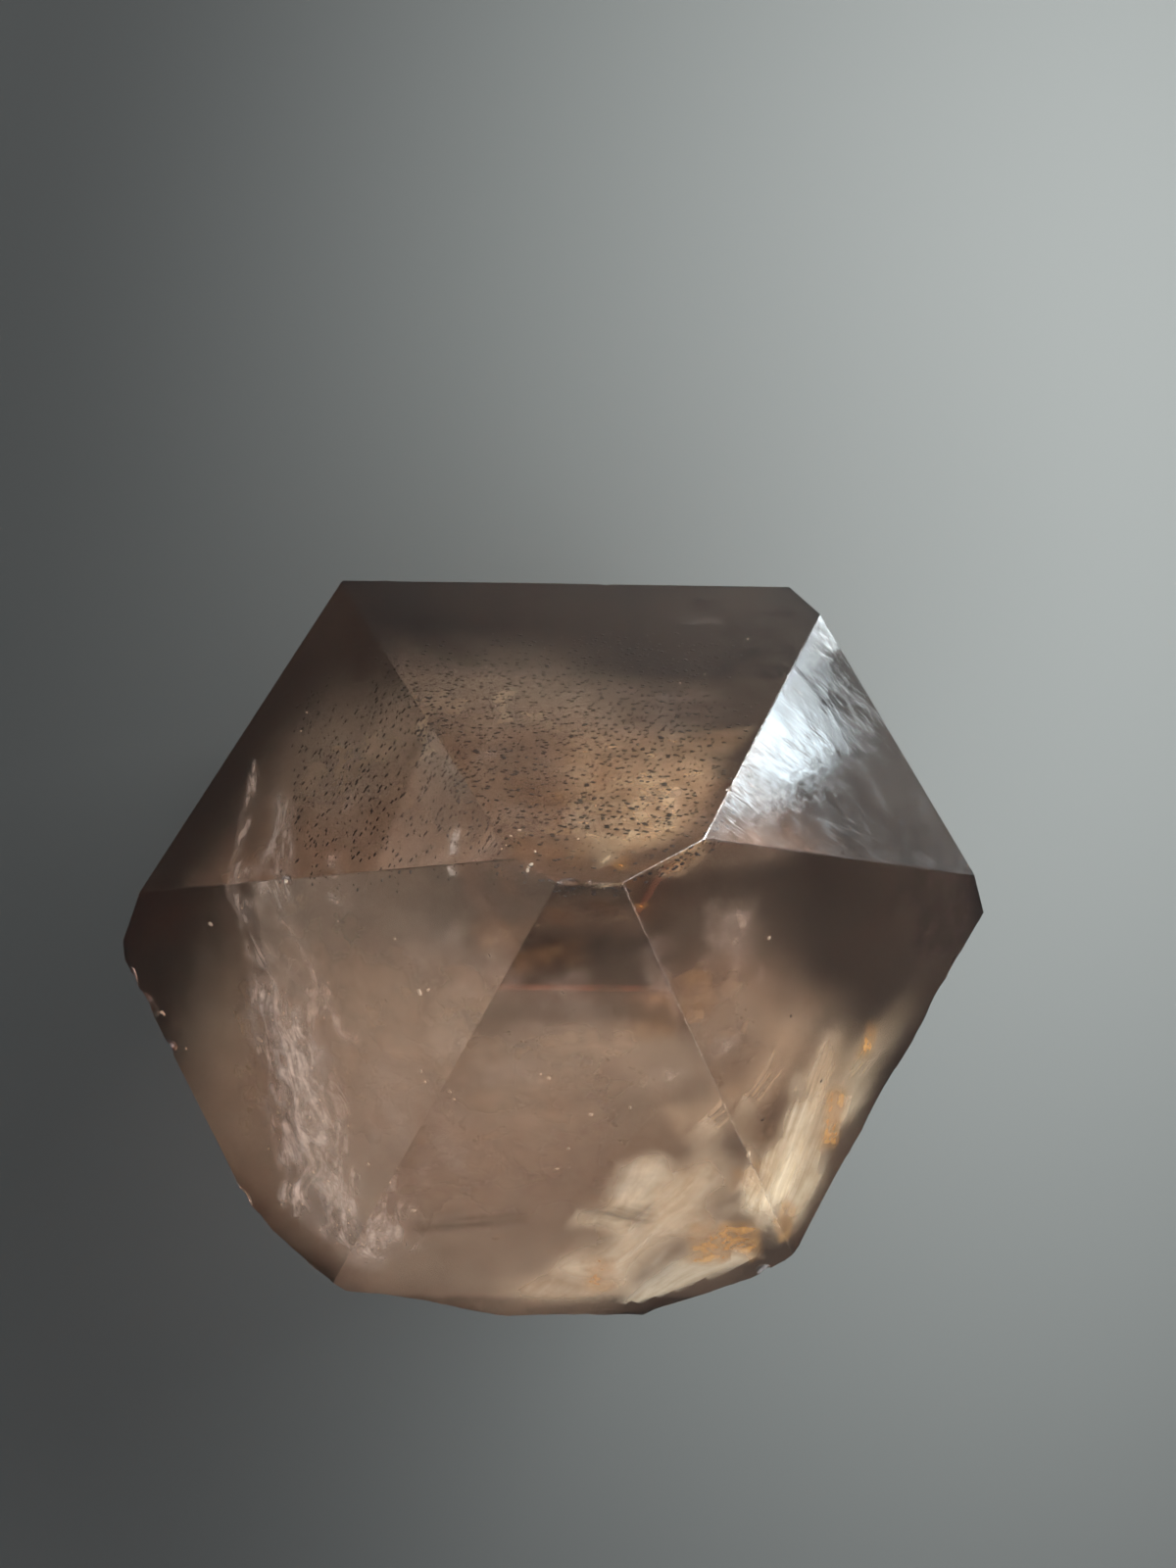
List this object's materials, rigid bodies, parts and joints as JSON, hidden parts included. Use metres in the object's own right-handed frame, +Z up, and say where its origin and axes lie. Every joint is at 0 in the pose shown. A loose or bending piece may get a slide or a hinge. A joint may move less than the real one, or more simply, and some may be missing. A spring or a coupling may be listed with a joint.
{
  "type": "smoky phantom quartz point",
  "caption": "Stout six-sided smoky quartz point with a chlorite phantom, veils and iron stains inside, standing on its flat cut base.",
  "frame": {"origin": "middle of the bounding box's underside, on the flat cut base", "axes": "+Z up from the cut base to the point, the crystal's long axis; +Y towards the wide polished face that shows the phantom; +X to the right when seen from -Y"},
  "size_m": [0.0874, 0.075, 0.117],
  "materials": {
    "smoky_quartz": "polished clear smoky brown-grey quartz, broken and silky on two sides",
    "chlorite": "dark green-black specks lying on the phantom's faces",
    "healed_fractures": "pale silky veils of tiny bubbles inside the quartz",
    "iron_stain": "orange-brown earthy film in the fractures"
  },
  "bodies": {
    "root": {"quartz_crystal": "smoky_quartz"}
  },
  "joints": []
}
